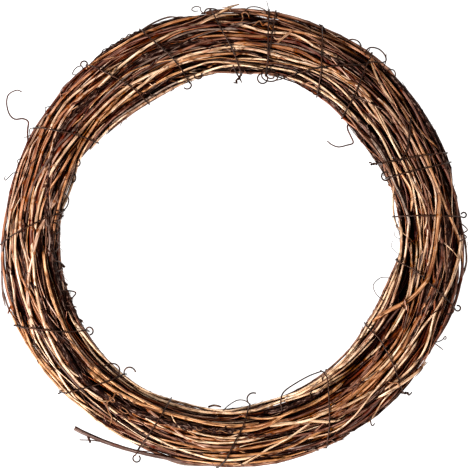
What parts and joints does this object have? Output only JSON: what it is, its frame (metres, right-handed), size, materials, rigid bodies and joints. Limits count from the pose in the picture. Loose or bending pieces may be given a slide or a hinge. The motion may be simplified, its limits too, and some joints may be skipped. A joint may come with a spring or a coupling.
{
  "type": "grapevine wreath",
  "caption": "Round craft wreath of dried grapevine canes wound into a ring and bound with dark wire ties.",
  "frame": {"origin": "centre of the wreath's outer circle, on the surface that it lies on", "axes": "+Z along the ring's axis, out of the front; +X to the right and +Y to the top of the picture"},
  "size_m": [0.3073, 0.2985, 0.0314],
  "materials": {
    "peeled_vine": "matte, bark peeled",
    "orange_bark": "matte bark",
    "brown_bark": "matte bark",
    "grey_bark": "weathered bark",
    "old_bark": "shaggy old bark",
    "tie_wire": "dark, semi-matte"
  },
  "bodies": {
    "root": {"slanting_cane_1": "peeled_vine", "slanting_cane_2": "orange_bark", "cut_cane": "grey_bark", "crossing_cane": "orange_bark", "bowed_cane_right": "brown_bark", "bowed_cane_left": "orange_bark", "old_cane_front": "old_bark", "old_cane_01": "old_bark", "old_cane_02": "old_bark", "old_cane_03": "old_bark", "cane_01": "orange_bark", "cane_02": "brown_bark", "cane_03": "peeled_vine", "cane_04": "brown_bark", "cane_05": "orange_bark", "cane_06": "grey_bark", "cane_07": "brown_bark", "cane_08": "orange_bark", "cane_09": "brown_bark", "cane_10": "peeled_vine", "cane_11": "brown_bark", "cane_12": "orange_bark", "cane_13": "grey_bark", "cane_14": "brown_bark", "cane_15": "orange_bark", "cane_16": "brown_bark", "cane_17": "peeled_vine", "cane_18": "brown_bark", "cane_19": "orange_bark", "cane_20": "grey_bark", "cane_21": "brown_bark", "cane_22": "orange_bark", "cane_23": "brown_bark", "cane_24": "peeled_vine", "cane_25": "brown_bark", "cane_26": "orange_bark", "cane_27": "grey_bark", "cane_28": "brown_bark", "cane_29": "orange_bark", "cane_30": "brown_bark", "cane_31": "peeled_vine", "cane_32": "brown_bark", "tie_01": "tie_wire", "tie_02": "tie_wire", "tie_03": "tie_wire", "tie_04": "tie_wire", "tie_05": "tie_wire", "tie_06": "tie_wire", "tie_07": "tie_wire", "tie_08": "tie_wire", "tie_09": "tie_wire", "tie_10": "tie_wire", "tie_11": "tie_wire", "tie_12": "tie_wire", "tie_13": "tie_wire", "tie_14": "tie_wire", "tie_15": "tie_wire", "tie_16": "tie_wire", "tie_17": "tie_wire", "tie_18": "tie_wire"}
  },
  "joints": []
}
